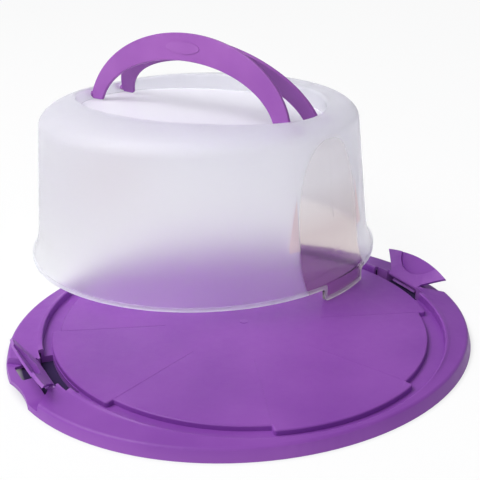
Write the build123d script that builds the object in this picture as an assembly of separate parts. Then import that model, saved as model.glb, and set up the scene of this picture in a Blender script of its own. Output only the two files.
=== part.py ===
"""Round cake carrier: a low tray, a domed lid with two folding handles, and two side latches.

Millimetres, +Z up. The origin is the centre of the tray, on the surface that it stands on.
The lid is off the tray: it stands behind it, with one tab on the tray's plateau and the other
on the table. Both latches are open and both handles are raised.
"""
import math
import os

from build123d import *

# ---------------------------------------------------------------- lid
lid_foot_r = 149.7            # the conical wall's outer radius, run on to the lid's foot
lid_wall = 2.0
lid_taper = 10.8              # how much narrower the wall is where the shoulder starts
lid_height = 133.7
shoulder_long = 36.0          # shoulder's quarter ellipse, along the radius
shoulder_high = 18.3          # and up
flare_high = 25.0             # the wall flares out to the rim below this
rim_out = 5.0                 # rim, beyond the wall's line
rim_step = 1.3                # rim, proud of the flare
rim_high = 3.2
tab_half_angle = 10.2
tab_turn = 2.4                # tabs' line, turned from the handles' line
tab_drop = 10.6               # how far each tab hangs below the rim
tab_corner = 2.8
web_t = 1.8                   # upright end of a tab
recess_round = 2.4
recess_end_gap = 2.6          # hand recess, clear of the handles' ends
recess_side_gap = 8.1         # and of their crowns when they are folded
lid_x = -37.4                 # where the lid stands beside its seat
lid_y = 150.6
lid_turn = -40.4              # direction of the lid's handles
rest_gap = 0.35               # gap between the lid's tabs and what they stand on

# ---------------------------------------------------------------- tray
latch_azimuth = 30.0          # direction of the right latch, counter-clockwise from +X
wall = 2.2                    # tray wall
plateau_top = 8.9             # cake surface above the table
plateau_gap = 3.0             # plateau's wide sectors, inside the lid's wall
notch_depth = 6.0             # how far the narrow sectors stand back from the wide ones
notch_round = 2.6
notch_root_round = 1.0
plateau_plate = 2.4           # thickness of the cake surface
plateau_edge_round = 1.2
sectors = 8
score_width = 0.5             # slicing lines on the plateau
score_depth = 0.12
score_start_r = 60.0
gate_r = 3.2                  # moulding gate mark at the centre
gate_height = 0.35
rib_t = 1.8                   # radial ribs under the plateau
groove_floor = 4.9            # floor of the groove above the table
bead_gap = 1.5                # raised bead that carries the lid's rim, outside the wall's line
bead_width = 2.8
bead_top = 10.9
bead_round = 0.9              # its inner edge
bead_blend = 3.0              # and its outer edge
foot_beyond_leaf = -2.3       # tray's end, beyond the closed latch leaf
foot_beyond_bead = 5.8        # tray's side, beyond the bead
crest_in_long = 1.9           # flange crest, in from the foot along the latches
crest_in_short = 3.9          # and across them
crest_z = 8.2
crest_round = 2.6
bite_radius = 75.0            # finger bite in the skirt below each latch
bite_depth = 3.8
bite_shift = 8.5              # the bite's middle, to the left of the latch's
slot_margin_angle = 1.0       # slot for a tab, larger than the tab
slot_margin = 0.5
window_from_pin = 4.3         # opening through the latch bay's floor
window_length = 8.5           # along the radius
window_left = -7.0            # and across it
window_right = -27.0
window_round = 2.0

# ---------------------------------------------------------------- latch
pin_from_slot = 3.0           # latch pin, outside the tab's slot
hinge_z = 7.6
barrel_r = 2.6
latch_pin_r = 1.6
latch_pin_len = 4.4
pin_clearance = 0.06
leaf_t = 2.4
leaf_length = 23.1            # from the pin to the free edge
leaf_root_half = 18.5         # half width at the pin
leaf_edge_half = 36.4         # half width at the free edge
leaf_edge_curve = 118.0       # radius of the free edge in plan
leaf_waist_half = 27.6        # a point of the concave side
leaf_waist_share = 0.45       # where it is, as a share of the leaf's length
leaf_gap = 2.4                # gap around the leaf in its bay
scoop_r = 23.5                # thumb scoop: radius of its step
scoop_length = 15.6           # from the step to the free edge
scoop_depth = 3.8             # at the step
scoop_end = 0.6               # at the free edge
scoop_floor = 1.8
floor_gap = 1.2               # gap between the scoop and the bay's floor
nose_reach = 4.6              # locking nose, from the pin's axis
nose_t = 2.0
nose_gap = 0.2                # gap between the nose and the closed lid's rim
nose_half = 14.0
latch_open_right = 45.0       # angle above the closed leaf
latch_open_left = 47.5
lug_t = 4.0
lug_gap = 0.5
lug_beyond_pin = 3.2
hub_r = 2.3

# ---------------------------------------------------------------- handles
handle_t = 3.2
arch_end_gap = 20.0           # handle's ends, inside the top of the lid's wall
arch_high = 74.9              # outer ellipse, semi-axis up
leg_width = 15.2              # band of the handle at its ends
crown_width = 23.3            # and at its crown
pivot_above_base = 10.0       # pin above the ellipses' centre line
pivot_below_top = 9.9         # pin below the lid's crest
pivot_half_gap = 19.0         # pin from the lid's middle plane
handle_shift = -2.5           # handles' and recess's middle, from the lid's axis
handle_tilt = 6.0             # both handles together, tilted to the front
foot_below_pivot = 3.8
foot_floor_gap = 1.0
handle_pin_r = 2.5
handle_pin_len = 9.0
crown_gap = 0.3
handle_edge_round = 0.8
pad_half_long = 19.5          # plain oval pad on the grip
pad_half_high = 5.0
pad_height = 0.5
pad_above_pivot = 52.4
pad_shift = -3.5

# ---------------------------------------------------------------- worked out
overshoot = 1.0               # how far a cutter runs past what it cuts
wall_slope = lid_taper / (lid_height - shoulder_high)
rim_r = lid_foot_r + rim_out
flare_r = rim_r - rim_step
rim_inner_r = flare_r - lid_wall
lid_shoulder_r = lid_foot_r - lid_taper
plateau_r_wide = lid_foot_r - lid_wall - plateau_gap
plateau_r_narrow = plateau_r_wide - notch_depth
bead_inner_r = lid_foot_r + bead_gap
bead_outer_r = bead_inner_r + bead_width
slot_outer_r = rim_r + slot_margin
slot_half_angle = tab_half_angle + slot_margin_angle
hinge_r = slot_outer_r + pin_from_slot
leaf_edge_r = hinge_r + leaf_length
leaf_waist_r = hinge_r + leaf_waist_share * leaf_length
leaf_top = hinge_z + barrel_r
foot_long = leaf_edge_r + foot_beyond_leaf
foot_short = bead_outer_r + foot_beyond_bead
crest_long = foot_long - crest_in_long
crest_short = foot_short - crest_in_short
scoop_step_r = leaf_edge_r - scoop_length
scoop_slope = (scoop_depth - scoop_end) / scoop_length
bay_floor = leaf_top - scoop_depth - scoop_floor - floor_gap
nose_low = bead_top - tab_drop + rim_high + nose_gap
arch_long = lid_shoulder_r - arch_end_gap
grip_long = arch_long - leg_width
grip_high = arch_high - crown_width
pivot_z = lid_height - pivot_below_top
recess_floor = pivot_z - foot_below_pivot - foot_floor_gap
crown_height = arch_high - pivot_above_base
recess_long = arch_long + recess_end_gap
recess_short = pivot_half_gap + crown_height + recess_side_gap
handle_lean = math.degrees(math.asin((pivot_half_gap - handle_t / 2 - crown_gap) / crown_height))
lid_lean_sine = plateau_top / (rim_r + rim_inner_r * math.cos(math.radians(tab_half_angle)))
lid_z = rest_gap + rim_r * lid_lean_sine + tab_drop


def oval(long, short, z):
    """A horizontal oval face, long axis along the latches."""
    return Pos(0, 0, z) * Rot(0, 0, latch_azimuth) * Ellipse(long, short)


def rim_solid(inset):
    """The tray's outer form, with every face moved in by inset."""
    low = oval(foot_long - inset, foot_short - inset, 0)
    mid = oval(crest_long - inset, crest_short - inset, crest_z - inset)
    top = Pos(0, 0, bead_top - inset) * Circle(bead_outer_r - inset)
    return loft([low, mid]) + loft([mid, top])


def at_latch(shape, side):
    """Turns a shape built along +X to the latch on the right (0) or left (1)."""
    return Rot(0, 0, latch_azimuth + 180 * side) * shape


def bite(grow):
    """Cutter of the finger bite, grown by the wall for the inner face."""
    center = foot_long - bite_depth + bite_radius
    return Pos(center, bite_shift, bead_top) * Cylinder(bite_radius + grow, 4 * bead_top)


def plateau_face(inset):
    """Plan of the plateau, moved in by inset: wide and narrow sectors in turn, wide at the latches."""
    face = Circle(plateau_r_narrow - inset)
    reach = plateau_r_wide - inset
    half = math.radians(180 / sectors)
    apex = inset / math.sin(half)
    corner = (apex + 2 * reach * math.cos(half), 2 * reach * math.sin(half))
    wedge = make_face(Polyline((apex, 0), corner, (corner[0], -corner[1]), (apex, 0)))
    for index in range(0, sectors, 2):
        face += Rot(0, 0, latch_azimuth + index * 360 / sectors) * wedge & Circle(reach)
    return face


def make_plateau():
    """The plateau's block, with its notches and top edge rounded."""
    block = extrude(Pos(0, 0, groove_floor - overshoot) * plateau_face(0),
                    plateau_top - groove_floor + overshoot)
    middle_r = (plateau_r_wide + plateau_r_narrow) / 2
    uprights = block.edges().filter_by(Axis.Z)
    corners = uprights.filter_by(lambda e: math.hypot(e.center().X, e.center().Y) > middle_r)
    block = fillet(corners, notch_round)
    uprights = block.edges().filter_by(Axis.Z)
    roots = uprights.filter_by(
        lambda e: abs(math.hypot(e.center().X, e.center().Y) - plateau_r_narrow) < 0.01)
    block = fillet(roots, notch_root_round)
    top = block.edges().filter_by(lambda e: e.bounding_box().min.Z > plateau_top - 0.01)
    return fillet(top, plateau_edge_round)


def ring_sector(inner, outer, low, high, half_angle):
    """A ring sector about +X."""
    profile = Pos((inner + outer) / 2, 0, (low + high) / 2) * Rot(90, 0, 0) * Rectangle(
        outer - inner, high - low)
    return Rot(0, 0, -half_angle) * revolve(profile, axis=Axis.Z, revolution_arc=2 * half_angle)


def leaf_face(grow):
    """Plan of the latch leaf, fan shaped, with concave sides. grow widens it for the bay."""
    sag = leaf_edge_curve - math.sqrt(leaf_edge_curve**2 - leaf_edge_half**2)
    edge_r = leaf_edge_r + grow
    corner = (edge_r - sag, leaf_edge_half + grow)
    waist = (leaf_waist_r, leaf_waist_half + grow)
    neck = (hinge_r + barrel_r, leaf_root_half + grow)
    root = (hinge_r - grow, leaf_root_half + grow)

    def mirror(point):
        return (point[0], -point[1])

    edge = ThreePointArc(corner, (edge_r, 0), mirror(corner))
    side_a = ThreePointArc(neck, waist, corner)
    side_b = ThreePointArc(mirror(corner), mirror(waist), mirror(neck))
    rest = Polyline(mirror(neck), mirror(root), root, neck)
    return make_face(Curve() + [edge, side_a, side_b, rest])


def hinge_cylinder(radius, low_y, high_y):
    """A cylinder on the latch pin's axis, from low_y to high_y."""
    middle = (low_y + high_y) / 2
    return Pos(hinge_r, middle, hinge_z) * Rot(90, 0, 0) * Cylinder(radius, high_y - low_y)


def make_tray():
    """One moulding: plateau, groove, bead, flange and skirt, open below."""
    body = rim_solid(0)
    crest = body.edges().filter_by(lambda e: abs(e.center().Z - crest_z) < 0.05
                                   and abs(e.bounding_box().size.Z) < 0.05)
    body = fillet(crest, crest_round)
    body = fillet(body.edges().filter_by(lambda e: e.bounding_box().min.Z > bead_top - 0.01),
                  bead_blend)
    hollow = rim_solid(wall) + Pos(0, 0, -overshoot / 2) * extrude(
        oval(foot_long - wall, foot_short - wall, 0), overshoot / 2)
    for side in (0, 1):
        body -= at_latch(bite(0), side)
        hollow -= at_latch(bite(wall), side)
    core = Pos(0, 0, bead_top / 2) * Cylinder(bead_inner_r + wall, 3 * bead_top)
    form = body
    body -= hollow - core

    groove = extrude(Pos(0, 0, groove_floor) * Circle(bead_inner_r), bead_top)
    body -= groove
    brim = body.edges().filter_by(lambda e: e.bounding_box().min.Z > bead_top - 0.01)
    body = fillet(brim.sort_by(lambda e: math.hypot((e @ 0.5).X, (e @ 0.5).Y))[0], bead_round)
    body += make_plateau()
    under = extrude(Pos(0, 0, -overshoot) * plateau_face(wall),
                    plateau_top - plateau_plate + overshoot)
    rib_high = plateau_top - plateau_plate
    for index in range(sectors):
        angle = latch_azimuth + (index + 0.5) * 360 / sectors
        rib = Pos(plateau_r_wide / 2, 0, rib_high / 2) * Box(plateau_r_wide, rib_t, rib_high)
        under -= Rot(0, 0, angle) * rib
    body -= under

    for index in range(sectors):
        angle = latch_azimuth + (index + 0.5) * 360 / sectors
        length = plateau_r_narrow - score_start_r
        line = Pos(score_start_r + length / 2, 0, plateau_top) * Box(
            length, score_width, 2 * score_depth)
        body -= Rot(0, 0, angle) * line
    body += Pos(0, 0, plateau_top + gate_height / 2) * Cylinder(gate_r, gate_height)

    for side in (0, 1):
        slot_wall = ring_sector(slot_outer_r, slot_outer_r + wall, 0, crest_z, slot_half_angle)
        block = extrude(Pos(0, 0, bay_floor - wall) * leaf_face(leaf_gap + wall), bead_top)
        body += at_latch(slot_wall, side)
        body += at_latch(block, side) & form
        slot = ring_sector(plateau_r_wide + slot_margin, slot_outer_r, -overshoot,
                           bead_top + overshoot, slot_half_angle)
        bay = extrude(Pos(0, 0, bay_floor) * leaf_face(leaf_gap), bead_top)
        root_half = leaf_root_half + lug_gap
        well_r = hinge_r + barrel_r + leaf_gap
        well = Pos((slot_outer_r + well_r) / 2 - overshoot, 0, 0) * Box(
            well_r - slot_outer_r + 2 * overshoot, 2 * root_half, 4 * bead_top)
        window_face = RectangleRounded(window_length, window_left - window_right, window_round)
        window = extrude(Pos(hinge_r + window_from_pin + window_length / 2,
                             (window_left + window_right) / 2, -overshoot) * window_face,
                         bay_floor + 2 * overshoot)
        body -= at_latch(slot, side)
        body -= at_latch(bay, side)
        body -= at_latch(well, side)
        body -= at_latch(window, side)
        for end in (-1, 1):
            lug_y = end * (root_half + lug_t / 2)
            lug_length = hinge_r + lug_beyond_pin - slot_outer_r
            lug = Pos(slot_outer_r + lug_length / 2, lug_y, hinge_z / 2) * Box(
                lug_length, lug_t, hinge_z)
            under_leaf = Pos(hinge_r + lug_beyond_pin, lug_y, leaf_top - leaf_t) * Box(
                2 * (lug_beyond_pin - hub_r), 2 * lug_t, 2 * lug_gap)
            hub = hinge_cylinder(hub_r, lug_y - lug_t / 2, lug_y + lug_t / 2)
            bore = hinge_cylinder(latch_pin_r + pin_clearance, lug_y - lug_t, lug_y + lug_t)
            body += at_latch((lug - under_leaf) + hub, side)
            body -= at_latch(bore, side)
    return body


def above_ramp(drop):
    """Everything above a plane that is drop below the scoop's sloping floor."""
    near = scoop_step_r - scoop_floor - overshoot
    far = leaf_edge_r + overshoot
    base = leaf_top - scoop_depth - drop
    high = leaf_top + overshoot
    section = make_face(Polyline(
        (near, base + (near - scoop_step_r) * scoop_slope), (far, base + (far - scoop_step_r) * scoop_slope),
        (far, high), (near, high), (near, base + (near - scoop_step_r) * scoop_slope)))
    return extrude(Plane.XZ * section, scoop_r + scoop_floor, both=True)


def make_latch(side, opened):
    """Latch leaf, barrel, stub pins and locking nose, turned up to its open place."""
    plan = leaf_face(0)
    middle = Pos(scoop_step_r + scoop_r, 0)
    slab = extrude(Pos(0, 0, leaf_top - leaf_t) * plan, leaf_t)
    boss = extrude(plan & middle * Circle(scoop_r + scoop_floor), leaf_top)
    scoop = extrude(middle * Circle(scoop_r), leaf_top + 2 * overshoot)
    leaf = slab + (boss & above_ramp(scoop_floor)) - (scoop & above_ramp(0))
    leaf += hinge_cylinder(barrel_r, -leaf_root_half, leaf_root_half)
    pin_half = leaf_root_half + latch_pin_len
    leaf += hinge_cylinder(latch_pin_r, -pin_half, pin_half)
    leaf += Pos(hinge_r - nose_reach / 2, 0, nose_low + nose_t / 2) * Box(
        nose_reach, 2 * nose_half, nose_t)
    axis = Axis((hinge_r, 0, hinge_z), (0, 1, 0))
    return at_latch(leaf.rotate(axis, -opened), side)


def wall_r(z):
    """Outer radius of the lid's conical wall at a height above the rim."""
    return lid_foot_r - wall_slope * z


def shoulder_profile(inset, base_z):
    """Half section of the lid's form, with wall, shoulder and top moved in by inset."""
    mid_r = lid_shoulder_r - shoulder_long
    mid_z = lid_height - shoulder_high
    long = shoulder_long - inset
    high = shoulder_high - inset
    start = math.degrees(math.atan(wall_slope * high / long))
    arc = EllipticalCenterArc((mid_r, mid_z), long, high, start_angle=start, arc_size=90 - start)
    foot = (wall_r(base_z) - inset, base_z)
    path = Polyline((0, lid_height - inset), (0, base_z), foot, arc @ 0)
    cap = Line(arc @ 1, (0, lid_height - inset))
    return Plane.XZ * make_face(Curve() + [path, arc, cap])


def flare_profile():
    """Section of the wall's flaring foot, down to the rim."""
    top_r = wall_r(flare_high)
    bend_z = (flare_high + rim_high) / 2
    bend_r = wall_r(bend_z)
    outer = Bezier((top_r, flare_high), (bend_r, bend_z), (flare_r, rim_high))
    inner = Bezier((rim_inner_r, rim_high), (bend_r - lid_wall, bend_z),
                   (top_r - lid_wall, flare_high))
    foot = Line((flare_r, rim_high), (rim_inner_r, rim_high))
    top = Line((top_r - lid_wall, flare_high), (top_r, flare_high))
    return Plane.XZ * make_face(Curve() + [outer, foot, inner, top])


def through_rim(outline):
    """A cutter that carries an outline, drawn across and up, along X through both tabs."""
    return extrude(Plane.YZ * outline, 2 * rim_r, both=True)


def rim_ring(inner, outer, low, high):
    """A plain ring about the lid's axis, its seam away from the tabs."""
    height = high - low
    return Pos(0, 0, (low + high) / 2) * Rot(0, 0, 90) * (
        Cylinder(outer, height) - Cylinder(inner, height))


def rounded_at(outline, half, radius):
    """The outline with its corners at a distance of half from the middle rounded."""
    corners = outline.vertices().filter_by(lambda v: abs(abs(v.X) - half) < 0.01)
    return fillet(corners, radius)


def make_rim():
    """The rim with its two tabs, which the rim runs down into round rounded corners."""
    half = rim_r * math.sin(math.radians(tab_half_angle))
    side = rim_r + overshoot
    below = -tab_drop - 2 * overshoot
    beside_tabs = make_face(Polyline(
        (half, 0), (side, 0), (side, below), (-side, below), (-side, 0), (-half, 0),
        (-half, -tab_drop), (half, -tab_drop), (half, 0)))
    rim = rim_ring(rim_inner_r, rim_r, -tab_drop - overshoot, rim_high)
    rim -= through_rim(rounded_at(beside_tabs, half, tab_corner))

    half -= web_t
    above = rim_high + overshoot
    low = rim_high - tab_drop
    sunk_face = make_face(Polyline(
        (half, rim_high), (side, rim_high), (side, above), (-side, above), (-side, rim_high),
        (-half, rim_high), (-half, low), (half, low), (half, rim_high)))
    sunk = rim_ring(flare_r, rim_r + overshoot, -tab_drop, above)
    rim -= sunk & through_rim(rounded_at(sunk_face, half, tab_corner - web_t / 2))
    return Rot(0, 0, tab_turn) * rim


def make_lid():
    """Domed lid with its flaring foot, rim, two tabs and the hand recess, in its own frame."""
    shell = revolve(shoulder_profile(0, flare_high), axis=Axis.Z)
    pocket = extrude(Pos(handle_shift, 0, recess_floor) * Ellipse(recess_long, recess_short),
                     lid_height)
    shell -= pocket
    brink = shell.edges().filter_by(
        lambda e: e.geom_type != GeomType.LINE and e.center().Z > recess_floor + recess_round
        and abs(math.hypot(((e @ 0.5).X - handle_shift) / recess_long,
                           (e @ 0.5).Y / recess_short) - 1) < 1e-3)
    shell = fillet(brink, recess_round)
    inside = revolve(shoulder_profile(lid_wall, flare_high), axis=Axis.Z)
    inside -= extrude(Pos(handle_shift, 0, recess_floor - lid_wall) * Ellipse(
        recess_long + lid_wall, recess_short + lid_wall), lid_height)
    shell -= inside

    shell += revolve(flare_profile(), axis=Axis.Z)
    shell += make_rim()
    for sign in (-1, 1):
        bore = Pos(handle_shift, sign * pivot_half_gap, pivot_z) * Rot(0, 90, 0) * Cylinder(
            handle_pin_r + pin_clearance, 2 * (arch_long + handle_pin_len))
        keep = Pos(handle_shift, 0, pivot_z) * Box(2 * grip_long, 4 * pivot_half_gap, 8 * handle_pin_r)
        shell -= bore - keep
    return shell


def make_handle(sign):
    """Flat arched handle with stub pins, leaning to the middle plane. sign -1 front, 1 rear."""
    base = Pos(0, -pivot_above_base)
    arch = base * Ellipse(arch_long, arch_high) - base * Ellipse(grip_long, grip_high)
    cut_high = arch_high + pivot_above_base
    arch &= Pos(0, cut_high / 2 - foot_below_pivot) * Rectangle(3 * arch_long, cut_high)
    corners = arch.vertices().filter_by(lambda p: p.Y < 0)
    arch = fillet(corners, foot_below_pivot * 0.8)
    body = extrude(arch, handle_t / 2, both=True)
    rims = body.edges().filter_by(lambda e: abs(abs(e.center().Z) - handle_t / 2) < 0.01)
    body = fillet(rims, handle_edge_round)
    pad = Pos(pad_shift, pad_above_pivot, 0) * Ellipse(pad_half_long, pad_half_high)
    body += extrude(pad, handle_t / 2 + pad_height)
    leg_r = arch_long * math.sqrt(1 - (pivot_above_base / arch_high) ** 2)
    for end in (-1, 1):
        middle = end * (leg_r + handle_pin_len / 2 - handle_edge_round)
        body += Pos(middle, 0, 0) * Rot(0, 90, 0) * Cylinder(
            handle_pin_r, handle_pin_len + 2 * handle_edge_round)
    facing = Rot(0, 0, 0) if sign < 0 else Rot(0, 0, 180)
    lean = handle_lean + sign * handle_tilt
    stand = facing * Pos(0, -pivot_half_gap, pivot_z) * Rot(90 - lean, 0, 0)
    return Pos(handle_shift, 0, 0) * stand * body


def lid_place():
    """Where the lid stands: one tab on the plateau, the other on the table."""
    lean = math.degrees(math.asin(lid_lean_sine))
    standing = Rot(0, 0, lid_turn + tab_turn) * Rot(0, -lean, 0) * Rot(0, 0, -tab_turn)
    return Pos(lid_x, lid_y, lid_z) * standing


def main():
    os.makedirs("parts", exist_ok=True)
    place = lid_place()
    nodes = {
        "tray": make_tray(),
        "latch_right": make_latch(0, latch_open_right),
        "latch_left": make_latch(1, latch_open_left),
        "lid": place * make_lid(),
        "handle_front": place * make_handle(-1),
        "handle_rear": place * make_handle(1),
    }
    for name, shape in nodes.items():
        export_step(shape, f"parts/{name}.step")


main()
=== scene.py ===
"""Looks of the cake carrier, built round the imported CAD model. All lengths are in metres."""

import math

import bpy
from mathutils import Matrix, Vector


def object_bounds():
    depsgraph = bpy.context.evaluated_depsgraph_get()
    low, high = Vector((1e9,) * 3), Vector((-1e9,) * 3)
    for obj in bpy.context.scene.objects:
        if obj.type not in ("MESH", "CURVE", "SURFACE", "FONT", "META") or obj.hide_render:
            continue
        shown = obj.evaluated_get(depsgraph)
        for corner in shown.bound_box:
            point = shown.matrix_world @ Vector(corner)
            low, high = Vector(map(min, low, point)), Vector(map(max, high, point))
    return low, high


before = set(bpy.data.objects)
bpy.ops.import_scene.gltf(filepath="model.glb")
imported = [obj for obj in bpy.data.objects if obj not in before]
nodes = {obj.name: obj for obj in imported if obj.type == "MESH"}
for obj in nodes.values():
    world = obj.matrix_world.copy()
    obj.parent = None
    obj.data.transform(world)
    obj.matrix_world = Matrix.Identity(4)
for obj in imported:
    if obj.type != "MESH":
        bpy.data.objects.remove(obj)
cad_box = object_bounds()
scene = bpy.context.scene

# ---------------------------------------------------------------- camera
FOCAL_MM = 64.947
SENSOR_MM = 36.0
CLIP_START = 0.01
CAMERA_PLACE = Vector((0.0, -0.59133, 0.31939))
YAW = math.radians(-0.317)
PITCH = math.radians(22.336)
ROLL = math.radians(0.345)

# ---------------------------------------------------------------- lamps and sky
LAMP_AIM = (0.0, 0.0, 0.05)
KEY_PLACE = (-1.0, -0.25, 1.55)
KEY_SIZE = 1.1
KEY_WATTS = 22.0
FILL_PLACE = (-0.5, -1.6, 1.2)
FILL_SIZE = 1.5
FILL_WATTS = 6.0
WHITE = (1.0, 1.0, 1.0)
SKY = (0.93, 0.95, 1.0)
SKY_LEFT = 0.66               # the sky's strength from the left
SKY_RIGHT = 0.24              # and from the right

# ---------------------------------------------------------------- floor
FLOOR_HALF = 6.0
FLOOR_DROP = 0.0001           # below the tray's foot
FLOOR_PALE = (0.93, 0.93, 0.93)
# painted shade: the floor under the tray is dark purple, seen through the tray's openings
FLOOR_PAINTED_SHADE = (0.05, 0.03, 0.09)
FLOOR_GLOW = 0.90             # how far the floor is lifted to white, where nothing covers it
LATCH_LINE = math.radians(30.0)    # direction of the tray's long axis
TRAY_LONG = 0.179
TRAY_SHORT = 0.160
TRAY_EDGE = (0.94, 1.02)      # where the painted shade on the floor ends, as shares of the tray's outline

# ---------------------------------------------------------------- purple plastic
PURPLE = (0.232, 0.054, 0.375)
PURPLE_LIGHT = (0.280, 0.074, 0.428)
# painted highlight on sharp edges, found by pointiness
PURPLE_EDGE_HIGHLIGHT = (0.350, 0.125, 0.490)
# painted light: the handles take the tray's purple, made lighter for the light that falls on them
HANDLE_PAINTED_LIGHT = (1.24, 1.50, 1.04)
PLAIN_TINT = (1.0, 1.0, 1.0)
PURPLE_CLOUDS = (14.0, 3.0, 0.5)   # scale, detail and roughness of a noise
PURPLE_SCUFFS = (160.0, 6.0, 0.65)
PURPLE_GRAIN = (1400.0, 2.0, 0.5)
CLOUD_COLOURS = (0.35, 0.68)       # part of the clouds over which the colour changes
EDGE_HIGHLIGHT_POINTINESS = (0.52, 0.60)          # pointiness of the edges that get a painted highlight
EDGE_HIGHLIGHT_SHARE = 0.6
SATIN_ROUGH = (0.36, 0.47)
SATIN_SCUFFS = (0.35, 0.7)
SATIN_CLOUDY = 0.05                # roughness that the clouds add
SATIN_SCUFF_BUMP = (0.10, 0.0004)  # strength and distance of a bump
SATIN_GRAIN_BUMP = (0.18, 0.00012)
PURPLE_IOR = 1.49
PURPLE_SPECULAR = 0.34

# ---------------------------------------------------------------- frosted plastic
FROST = (0.962, 0.962, 0.990)
FROST_DENSE = (0.945, 0.946, 0.982)
FROST_CLEAR = (0.830, 0.800, 0.820)      # in the panels, high up
FROST_CLEAR_LOW = (0.650, 0.560, 0.570)  # and low down
FROST_IOR = 1.42
FROST_CLOUDS = (9.0, 3.0, 0.5)
FROST_SCUFFS = (120.0, 6.0, 0.65)
FROST_GRAIN = (1100.0, 2.0, 0.5)
FROST_SCUFF_BUMP = (0.06, 0.0004)
FROST_GRAIN_BUMP = (0.10, 0.0001)
HAZE_ROUGH = 0.49
HAZE_UNEVEN = 0.03            # roughness that the scuffs add or take
CLEARER = 0.37                # how much smoother the panels and the recess's floor are
MIDDLE = (0.3, 0.7)           # middle part of a noise
MILK = (0.840, 0.838, 0.880)
RECESS_PAINTED_LIGHT = (0.960, 0.955, 0.985)      # painted light: a brighter milky colour on the recess's floor
BLADE_HIGHLIGHT_COLOUR = (1.0, 0.900, 0.860)          # painted highlight on the blades beside the panels
MILK_SHARE = 0.15             # of each surface of the lid
MILK_CLEAR = 0.08             # of the panels
MILK_LOW = -0.09              # added low on the wall
TOP_PAINTED_LIGHT_SHARE = 0.13               # added on the top, painted light from above
RECESS_PAINTED_LIGHT_SHARE = 0.50            # added on the recess's floor, painted light from above
MILK_RIM = 0.40
# share of the painted highlight on the blades
BLADE_HIGHLIGHT_SHARE = 0.62
SHADOW_TINT = (0.96, 0.95, 0.98)
SHADOW_PASS = 0.60            # share of each lamp's light that a surface of the lid lets by

# ---------------------------------------------------------------- places in the lid's own frame
LID_ORIGIN = Vector((-0.0374, 0.1506, 0.01548))
LID_AXES = (                  # through the tabs, square to that, and up
    (0.7612, -0.64786, 0.02928),
    (0.64811, 0.76155, 0.00123),
    (-0.02309, 0.01804, 0.99957),
)
WALL_FROM = (0.122, 0.126)
PANEL_HALF = 0.0395           # clear panel above each tab
PANEL_LOW = 0.030
PANEL_HIGH = 0.088
PANEL_POWER = 2.4
PANEL_EDGE = (0.93, 1.07)
PANEL_SHADE = (0.045, 0.085)
BLADE_INSET = 0.0005          # painted highlight: a bright blade along the panel's side
BLADE_WIDE = 0.0100
BLADE_TAPER = (0.040, 0.077)
BLADE_SOFT = 0.0004
BLADE_FOOT = (0.034, 0.036)
RIM_FROM = (0.1535, 0.1541)
RECESS_WITHIN = (0.124, 0.126)
RECESS_BELOW = (0.1193, 0.1199)
TOP_FROM = (0.108, 0.128)
LOW_BELOW = (0.020, 0.065)


def rgba(colour):
    return (*colour, 1.0)


def add_camera():
    level = math.cos(PITCH)
    forward = Vector((math.sin(YAW) * level, math.cos(YAW) * level, -math.sin(PITCH)))
    right = Vector((math.cos(YAW), -math.sin(YAW), 0.0))
    up = right.cross(forward)
    right_rolled = right * math.cos(ROLL) + up * math.sin(ROLL)
    up_rolled = up * math.cos(ROLL) - right * math.sin(ROLL)
    data = bpy.data.cameras.new("camera")
    data.sensor_fit = "HORIZONTAL"
    data.sensor_width = SENSOR_MM
    data.lens = FOCAL_MM
    data.clip_start = CLIP_START
    camera = bpy.data.objects.new("camera", data)
    turn = Matrix((right_rolled, up_rolled, -forward)).transposed()
    camera.matrix_world = Matrix.Translation(CAMERA_PLACE) @ turn.to_4x4()
    scene.collection.objects.link(camera)
    scene.camera = camera


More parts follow.
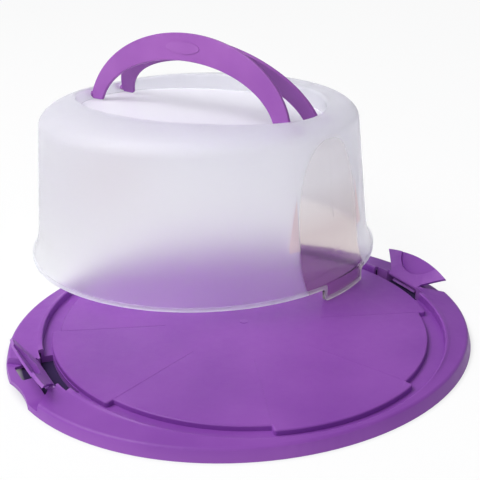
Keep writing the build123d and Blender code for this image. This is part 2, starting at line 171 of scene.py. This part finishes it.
class Tree:
    """The shader nodes of a material or world, made and joined in short lines."""

    def __init__(self, owner, output="ShaderNodeOutputMaterial"):
        owner.use_nodes = True
        self.nodes = owner.node_tree.nodes
        self.links = owner.node_tree.links
        self.nodes.clear()
        self.output = self.add(output)

    def add(self, kind, settings=(), **inputs):
        node = self.nodes.new(kind)
        for key, value in dict(settings).items():
            setattr(node, key, value)
        for key, value in inputs.items():
            self.join(value, node.inputs[key.replace("_", " ")])
        return node

    def join(self, value, socket):
        if isinstance(value, bpy.types.NodeSocket):
            self.links.new(value, socket)
        else:
            socket.default_value = value

    def finish(self, shader):
        self.join(shader, self.output.inputs["Surface"])

    def noise(self, place, scale, detail, rough):
        node = self.add("ShaderNodeTexNoise", Vector=place, Scale=scale, Detail=detail,
                        Roughness=rough)
        return node.outputs["Fac"]

    def ramp(self, value, low, high, to_low=0.0, to_high=1.0):
        node = self.add("ShaderNodeMapRange", {"clamp": True})
        for socket, number in zip(node.inputs, (value, low, high, to_low, to_high)):
            self.join(number, socket)
        return node.outputs["Result"]

    def fall(self, value, low, high):
        """1 below low, 0 above high."""
        return self.ramp(value, low, high, 1.0, 0.0)

    def mix(self, factor, first, second):
        node = self.add("ShaderNodeMix", {"data_type": "RGBA"})
        self.join(factor, node.inputs["Factor"])
        self.join(first, node.inputs[6])
        self.join(second, node.inputs[7])
        return node.outputs[2]

    def blend(self, factor, first, second):
        node = self.add("ShaderNodeMixShader")
        for socket, value in zip(node.inputs, (factor, first, second)):
            self.join(value, socket)
        return node.outputs[0]

    def split(self, vector):
        return self.add("ShaderNodeSeparateXYZ", Vector=vector).outputs

    def along(self, place, axis):
        """How far a point is from the lid's origin along one of the lid's axes."""
        node = self.add("ShaderNodeVectorMath", {"operation": "DOT_PRODUCT"})
        self.join(place, node.inputs[0])
        node.inputs[1].default_value = axis
        return self.maths("SUBTRACT", node.outputs["Value"], Vector(axis).dot(LID_ORIGIN))

    def length(self, first, second):
        squares = [self.maths("MULTIPLY", value, value) for value in (first, second)]
        return self.maths("SQRT", self.maths("ADD", *squares))

    def maths(self, operation, first, second=0.0):
        node = self.add("ShaderNodeMath", {"operation": operation})
        self.join(first, node.inputs[0])
        self.join(second, node.inputs[1])
        return node.outputs[0]

    def bump(self, height, strength, distance, normal=None):
        node = self.add("ShaderNodeBump", Height=height, Strength=strength, Distance=distance)
        if normal is not None:
            self.join(normal, node.inputs["Normal"])
        return node.outputs["Normal"]


def purple_plastic(name, painted_light_tint):
    """Satin moulded polypropylene: flow clouds, fine grain, a painted highlight on sharp edges, and
    a colour factor over all that is painted light on the handles.
    """
    # the factor lightens all three colours; on the handles this is painted light
    base, light, edge_highlight = (rgba([share * part for share, part in zip(painted_light_tint, colour)])
                         for colour in (PURPLE, PURPLE_LIGHT, PURPLE_EDGE_HIGHLIGHT))
    material = bpy.data.materials.new(name)
    tree = Tree(material)
    place = tree.add("ShaderNodeTexCoord").outputs["Object"]
    clouds = tree.noise(place, *PURPLE_CLOUDS)
    grain = tree.noise(place, *PURPLE_GRAIN)
    scuffs = tree.noise(place, *PURPLE_SCUFFS)
    edges = tree.add("ShaderNodeNewGeometry").outputs["Pointiness"]
    colour = tree.mix(tree.ramp(clouds, *CLOUD_COLOURS), base, light)
    # painted highlight on sharp edges, where pointiness is high
    colour = tree.mix(tree.ramp(edges, *EDGE_HIGHLIGHT_POINTINESS, 0.0, EDGE_HIGHLIGHT_SHARE), colour, edge_highlight)
    roughness = tree.maths("ADD", tree.ramp(scuffs, *SATIN_SCUFFS, *SATIN_ROUGH),
                           tree.ramp(clouds, *MIDDLE, 0.0, SATIN_CLOUDY))
    normal = tree.bump(scuffs, *SATIN_SCUFF_BUMP)
    normal = tree.bump(grain, *SATIN_GRAIN_BUMP, normal)
    shader = tree.add("ShaderNodeBsdfPrincipled", Base_Color=colour, Roughness=roughness,
                      Normal=normal, IOR=PURPLE_IOR, Specular_IOR_Level=PURPLE_SPECULAR)
    tree.finish(shader.outputs["BSDF"])
    return material


def lid_marks(tree, place):
    """Shares from 0 to 1 that tell the lid's regions apart at a point of it."""
    across, side, up = (tree.along(place, axis) for axis in LID_AXES)
    side = tree.maths("ABSOLUTE", side)
    across = tree.maths("ABSOLUTE", across)
    radius = tree.length(across, side)
    on_wall = tree.ramp(across, *WALL_FROM)
    wide = tree.maths("POWER", tree.maths("DIVIDE", side, PANEL_HALF), PANEL_POWER)
    rise = tree.maths("MAXIMUM", tree.maths("SUBTRACT", up, PANEL_LOW), 0.0)
    high = tree.maths("POWER", tree.maths("DIVIDE", rise, PANEL_HIGH), PANEL_POWER)
    panel = tree.fall(tree.maths("ADD", wide, high), *PANEL_EDGE)
    # painted highlight: a narrow strip along each side of the panel, tapering upward
    blade_start = PANEL_HALF - BLADE_INSET
    blade_width = tree.ramp(up, *BLADE_TAPER, BLADE_WIDE, 0.0)
    beyond = tree.maths("SUBTRACT", tree.maths("SUBTRACT", side, blade_start), blade_width)
    blade = tree.fall(beyond, -BLADE_SOFT, BLADE_SOFT)
    blade = tree.maths("MULTIPLY", blade,
                       tree.ramp(side, blade_start - BLADE_SOFT, blade_start + BLADE_SOFT))
    blade = tree.maths("MULTIPLY", blade, tree.ramp(up, *BLADE_FOOT))
    inward = tree.fall(radius, *RECESS_WITHIN)
    return {
        "panel": tree.maths("MULTIPLY", panel, on_wall),
        "panel_low": tree.fall(up, *PANEL_SHADE),
        "blade": tree.maths("MULTIPLY", blade, on_wall),
        "rim": tree.ramp(radius, *RIM_FROM),
        "recess": tree.maths("MULTIPLY", inward, tree.fall(up, *RECESS_BELOW)),
        "top": tree.ramp(up, *TOP_FROM),
        "low": tree.fall(up, *LOW_BELOW),
    }


def frosted_plastic(name):
    """Natural polypropylene, 2 mm thick: milky, clearer in an arched panel above each tab, with a
    painted highlight on a blade beside each panel and painted light, more milky white, on the top
    and the recess's floor.
    """
    material = bpy.data.materials.new(name)
    tree = Tree(material)
    place = tree.add("ShaderNodeTexCoord").outputs["Object"]
    clouds = tree.noise(place, *FROST_CLOUDS)
    scuffs = tree.noise(place, *FROST_SCUFFS)
    grain = tree.noise(place, *FROST_GRAIN)
    marks = lid_marks(tree, place)
    smooth = tree.maths("MAXIMUM", marks["panel"], marks["recess"])
    colour = tree.mix(tree.ramp(clouds, *MIDDLE), rgba(FROST_DENSE), rgba(FROST))
    clear = tree.mix(marks["panel_low"], rgba(FROST_CLEAR), rgba(FROST_CLEAR_LOW))
    colour = tree.mix(marks["panel"], colour, clear)
    roughness = tree.ramp(scuffs, *MIDDLE, HAZE_ROUGH - HAZE_UNEVEN, HAZE_ROUGH + HAZE_UNEVEN)
    roughness = tree.maths("SUBTRACT", roughness, tree.maths("MULTIPLY", smooth, CLEARER))
    normal = tree.bump(scuffs, *FROST_SCUFF_BUMP)
    normal = tree.bump(grain, *FROST_GRAIN_BUMP, normal)
    shader = tree.add("ShaderNodeBsdfPrincipled", Base_Color=colour, Roughness=roughness,
                      Normal=normal, IOR=FROST_IOR, Transmission_Weight=1.0)
    # the colour of the milky layer, with painted light on the recess's floor and a painted
    # highlight on the blades
    milk_and_painted_light_colour = tree.mix(marks["recess"], rgba(MILK), rgba(RECESS_PAINTED_LIGHT))
    milk_and_painted_light_colour = tree.mix(marks["blade"], milk_and_painted_light_colour, rgba(BLADE_HIGHLIGHT_COLOUR))
    lit = tree.add("ShaderNodeBsdfDiffuse", Color=milk_and_painted_light_colour, Normal=normal)
    through = tree.add("ShaderNodeBsdfTranslucent", Color=milk_and_painted_light_colour, Normal=normal)
    milk_and_painted_light = tree.blend(0.5, lit.outputs[0], through.outputs[0])
    # more milky white on the top and the recess's floor is painted light, on the blades a painted
    # highlight
    share = MILK_SHARE
    for mark, added in (("top", TOP_PAINTED_LIGHT_SHARE), ("low", MILK_LOW), ("panel", MILK_CLEAR - MILK_SHARE),
                        ("recess", RECESS_PAINTED_LIGHT_SHARE), ("rim", MILK_RIM), ("blade", BLADE_HIGHLIGHT_SHARE)):
        share = tree.maths("ADD", share, tree.maths("MULTIPLY", marks[mark], added))
    body = tree.blend(share, shader.outputs["BSDF"], milk_and_painted_light)
    shadow = tree.add("ShaderNodeLightPath").outputs["Is Shadow Ray"]
    let_by = tree.add("ShaderNodeBsdfTransparent", Color=rgba(SHADOW_TINT))
    passing = tree.maths("MULTIPLY", shadow, SHADOW_PASS)
    tree.finish(tree.blend(passing, body, let_by.outputs[0]))
    return material


def dress(node, material):
    mesh = nodes[node].data
    if not mesh.materials:
        mesh.materials.append(material)
    for index in range(len(mesh.materials)):
        mesh.materials[index] = material


def add_floor():
    """A pale floor, lifted to white except under the tray, where painted shade makes it dark."""
    mesh = bpy.data.meshes.new("floor")
    corners = [(x * FLOOR_HALF, y * FLOOR_HALF, 0) for x, y in ((-1, -1), (1, -1), (1, 1), (-1, 1))]
    mesh.from_pydata(corners, [], [(0, 1, 2, 3)])
    floor = bpy.data.objects.new("floor", mesh)
    floor.location.z = cad_box[0][2] - FLOOR_DROP
    scene.collection.objects.link(floor)
    material = bpy.data.materials.new("floor_white_and_painted_shade")
    tree = Tree(material)
    path = tree.add("ShaderNodeLightPath").outputs
    glow = tree.add("ShaderNodeEmission", Color=rgba(WHITE), Strength=1.0)
    seen = tree.maths("MAXIMUM", path["Is Camera Ray"], path["Is Glossy Ray"])
    seen = tree.maths("MAXIMUM", seen, path["Is Transmission Ray"])
    axes = tree.split(tree.add("ShaderNodeNewGeometry").outputs["Position"])
    cosine = math.cos(LATCH_LINE)
    sine = math.sin(LATCH_LINE)
    along = tree.maths("ADD", tree.maths("MULTIPLY", axes["X"], cosine / TRAY_LONG),
                       tree.maths("MULTIPLY", axes["Y"], sine / TRAY_LONG))
    across = tree.maths("SUBTRACT", tree.maths("MULTIPLY", axes["Y"], cosine / TRAY_SHORT),
                        tree.maths("MULTIPLY", axes["X"], sine / TRAY_SHORT))
    outside = tree.ramp(tree.length(along, across), *TRAY_EDGE)
    # painted shade: the floor takes a dark colour under the tray and the pale one outside it
    diffuse = tree.add("ShaderNodeBsdfDiffuse",
                       Color=tree.mix(outside, rgba(FLOOR_PAINTED_SHADE), rgba(FLOOR_PALE)))
    white = tree.maths("MULTIPLY", tree.maths("MULTIPLY", seen, FLOOR_GLOW), outside)
    tree.finish(tree.blend(white, diffuse.outputs[0], glow.outputs[0]))
    mesh.materials.append(material)


def add_world():
    """A sky that is stronger from the left, and plain white where the camera sees it."""
    world = bpy.data.worlds.new("world")
    scene.world = world
    tree = Tree(world, "ShaderNodeOutputWorld")
    path = tree.add("ShaderNodeLightPath").outputs
    direction = tree.split(tree.add("ShaderNodeTexCoord").outputs["Generated"])
    strength = tree.ramp(direction["X"], -1.0, 1.0, SKY_LEFT, SKY_RIGHT)
    sky = tree.add("ShaderNodeBackground", Color=rgba(SKY), Strength=strength)
    backdrop = tree.add("ShaderNodeBackground", Color=rgba(WHITE), Strength=1.0)
    seen = tree.maths("MAXIMUM", path["Is Camera Ray"], path["Is Transmission Ray"])
    tree.finish(tree.blend(seen, sky.outputs[0], backdrop.outputs[0]))


def add_lamp(name, place, size, watts):
    data = bpy.data.lights.new(name, "AREA")
    data.shape = "SQUARE"
    data.size = size
    data.energy = watts
    lamp = bpy.data.objects.new(name, data)
    lamp.location = place
    lamp.rotation_euler = (Vector(LAMP_AIM) - Vector(place)).to_track_quat("-Z", "Y").to_euler()
    scene.collection.objects.link(lamp)


scene.view_settings.view_transform = "Standard"
add_camera()
add_floor()
add_world()
add_lamp("key", KEY_PLACE, KEY_SIZE, KEY_WATTS)
add_lamp("fill", FILL_PLACE, FILL_SIZE, FILL_WATTS)

base_material = purple_plastic("purple_plastic", PLAIN_TINT)
for node in ("tray", "latch_right", "latch_left"):
    dress(node, base_material)
# the handles get a lighter copy of the tray's purple: painted light
handle_material = purple_plastic("purple_plastic_handles_painted_light", HANDLE_PAINTED_LIGHT)
for node in ("handle_front", "handle_rear"):
    dress(node, handle_material)
dress("lid", frosted_plastic("frosted_plastic"))
